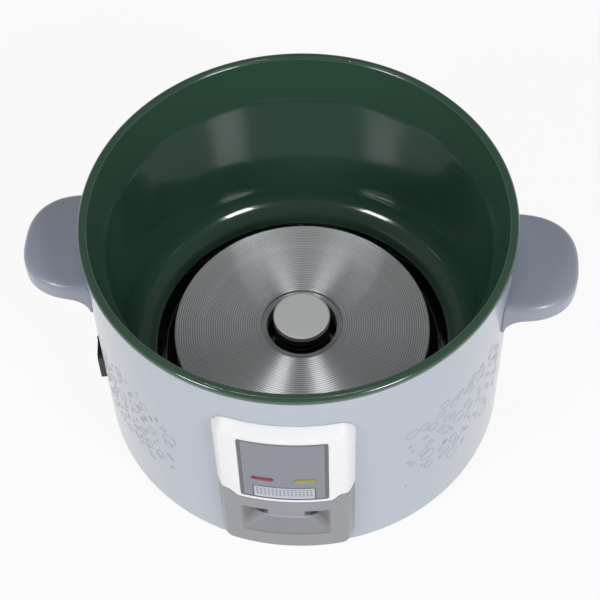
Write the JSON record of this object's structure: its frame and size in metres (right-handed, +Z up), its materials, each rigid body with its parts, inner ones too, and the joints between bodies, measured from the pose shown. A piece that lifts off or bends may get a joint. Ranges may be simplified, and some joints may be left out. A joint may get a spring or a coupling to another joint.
{
  "type": "rice cooker",
  "caption": "Drum rice cooker body with enamelled liner, domed heating plate, spring-loaded magnetic thermostat, cook lever, pilot lights, side handles and mains inlet.",
  "frame": {"origin": "on the surface that the feet stand on, below the axis of the drum", "axes": "+Z up along the drum's axis; the front panel and lever face -Y; the handles lie along X"},
  "size_m": [0.329, 0.2602, 0.1749],
  "materials": {
    "drum_paint": "smooth gloss",
    "enamel": "glassy vitreous enamel",
    "steel": "satin",
    "zinc": "zinc plated",
    "black_plate": "matt heat-proof",
    "cast_alu": "turned",
    "cap_alu": "matt",
    "handle_plastic": "gloss",
    "white_plastic": "gloss",
    "grey_plastic": "satin",
    "dark_trim": "satin",
    "plate_grey": "satin",
    "red_lens": "translucent",
    "yellow_lens": "translucent",
    "glass_lamp": "clear",
    "board": "matt",
    "black_plastic": "satin",
    "rubber": "matt",
    "ceramic": "glazed",
    "ferrite": "matt",
    "brass": "satin",
    "cloth": "woven",
    "plunger_red": "satin"
  },
  "bodies": {
    "housing": {"outer_shell": "drum_paint", "inner_chamber": "enamel", "base_plate": "zinc", "rubber_feet": "rubber", "base_screws": "zinc", "left_handle": "handle_plastic", "right_handle": "handle_plastic", "handle_screws": "zinc", "panel_frame": "white_plastic", "lower_panel": "grey_plastic", "window_trim": "dark_trim", "indicator_plate": "plate_grey", "cook_lens": "red_lens", "warm_lens": "yellow_lens", "panel_screws": "zinc", "lamp_board": "board", "cook_lamp": "glass_lamp", "warm_lamp": "glass_lamp", "heating_plate": "cast_alu", "heating_element": "steel", "heat_shield": "black_plate", "support_pillars": "zinc", "plate_screws": "zinc", "thermal_fuse": "ceramic", "warm_band": "cloth", "thermostat_bracket": "steel", "lever_pin": "steel", "switch_bracket": "zinc", "bracket_screws": "zinc", "micro_switch": "black_plastic", "terminal_block": "ceramic", "inlet_socket": "black_plastic", "inlet_pins": "brass", "inlet_screws": "steel"},
    "lever": {"lever_arm": "zinc", "lever_tab": "grey_plastic"},
    "magnet_slider": {"magnet_carrier": "steel", "magnet": "ferrite", "inner_spring": "steel"},
    "plunger": {"switch_plunger": "plunger_red"},
    "sensor": {"sensor_cap": "cap_alu", "sensor_sleeve": "steel", "ferrite_disc": "ferrite", "outer_spring": "steel"}
  },
  "joints": [
    {"name": "lever_press", "type": "hinge", "parent": "housing", "child": "lever", "pos_m": [0, -0.0524, 0.017], "axis": [1, 0, 0], "range_deg": [0, 5.58], "stiffness_Nm_per_rad": 1, "springref_deg": -6.88},
    {"name": "magnet_slide", "type": "slide", "parent": "housing", "child": "magnet_slider", "axis": [0, 0, 1], "range_m": [0, 0.0053], "deforming": ["inner_spring"]},
    {"name": "plunger_slide", "type": "slide", "parent": "housing", "child": "plunger", "axis": [0, 0, 1], "range_m": [-0.0016, 0]},
    {"name": "sensor_press", "type": "slide", "parent": "housing", "child": "sensor", "axis": [0, 0, -1], "range_m": [0, 0.004], "stiffness_N_per_m": 400, "springref_m": -0.006, "deforming": ["outer_spring"]}
  ],
  "couplings": [
    {"joint": "magnet_slide", "follows": "lever_press", "m_per_rad": 0.0524},
    {"joint": "plunger_slide", "follows": "lever_press", "m_per_rad": -0.0156}
  ]
}
